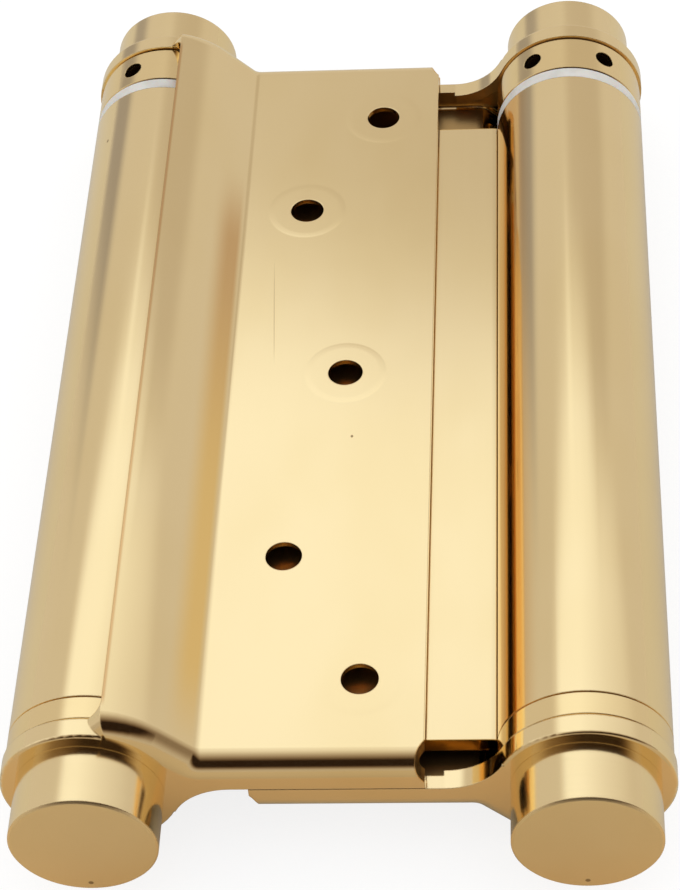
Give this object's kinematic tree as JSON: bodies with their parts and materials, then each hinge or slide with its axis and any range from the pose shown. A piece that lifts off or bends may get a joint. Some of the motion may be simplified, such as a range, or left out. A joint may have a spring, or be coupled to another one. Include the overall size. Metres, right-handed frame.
{
  "type": "spring hinge",
  "caption": "Double-action spring hinge: a plate rolled into a sprung barrel at each edge, a folded screw leaf on each barrel, and tension collars that wind the springs.",
  "frame": {"origin": "middle of the closed hinge: half way between the two barrel axes and half way along them", "axes": "+Y along the barrels towards the tension collars, +Z out of the front leaf's face, +X from the front leaf's barrel to the rear leaf's barrel"},
  "size_m": [0.0852, 0.1524, 0.0262],
  "materials": {
    "polished_brass_plate": "brass-plated steel, mirror polished",
    "bright_steel": "bright drawn steel",
    "white_nylon": "natural white nylon"
  },
  "bodies": {
    "rear_leaf": {"rear_leaf": "polished_brass_plate", "rear_spindle": "bright_steel", "rear_top_cap": "polished_brass_plate", "rear_bottom_cap": "polished_brass_plate", "rear_top_washer": "bright_steel", "rear_bottom_washer": "bright_steel"},
    "centre_plate": {"centre_plate": "polished_brass_plate", "front_anchor_plug": "polished_brass_plate", "front_plug_pin": "bright_steel", "front_nylon_washer": "white_nylon", "front_spring": "bright_steel", "rear_anchor_plug": "polished_brass_plate", "rear_plug_pin": "bright_steel", "rear_nylon_washer": "white_nylon", "rear_spring": "bright_steel"},
    "front_leaf": {"front_leaf": "polished_brass_plate", "front_spindle": "bright_steel", "front_top_cap": "polished_brass_plate", "front_bottom_cap": "polished_brass_plate", "front_top_washer": "bright_steel", "front_bottom_washer": "bright_steel"},
    "front_tension_collar": {"front_tension_collar": "polished_brass_plate"},
    "rear_tension_collar": {"rear_tension_collar": "polished_brass_plate"}
  },
  "joints": [
    {"name": "rear_leaf_hinge", "type": "hinge", "parent": "rear_leaf", "child": "centre_plate", "pos_m": [0.03125, 0, 0], "axis": [0, 1, 0], "range_deg": [0, 110], "stiffness_Nm_per_rad": 1.2, "deforming": ["rear_spring"]},
    {"name": "front_leaf_hinge", "type": "hinge", "parent": "centre_plate", "child": "front_leaf", "pos_m": [-0.03125, 0, 0], "axis": [0, -1, 0], "range_deg": [0, 110], "stiffness_Nm_per_rad": 1.2, "deforming": ["front_spring"]},
    {"name": "front_collar_turn", "type": "hinge", "parent": "front_leaf", "child": "front_tension_collar", "pos_m": [-0.03125, 0, 0], "axis": [0, -1, 0], "range_deg": [0, 180], "deforming": ["front_spring"]},
    {"name": "rear_collar_turn", "type": "hinge", "parent": "rear_leaf", "child": "rear_tension_collar", "pos_m": [0.03125, 0, 0], "axis": [0, -1, 0], "range_deg": [0, 180], "deforming": ["rear_spring"]}
  ]
}
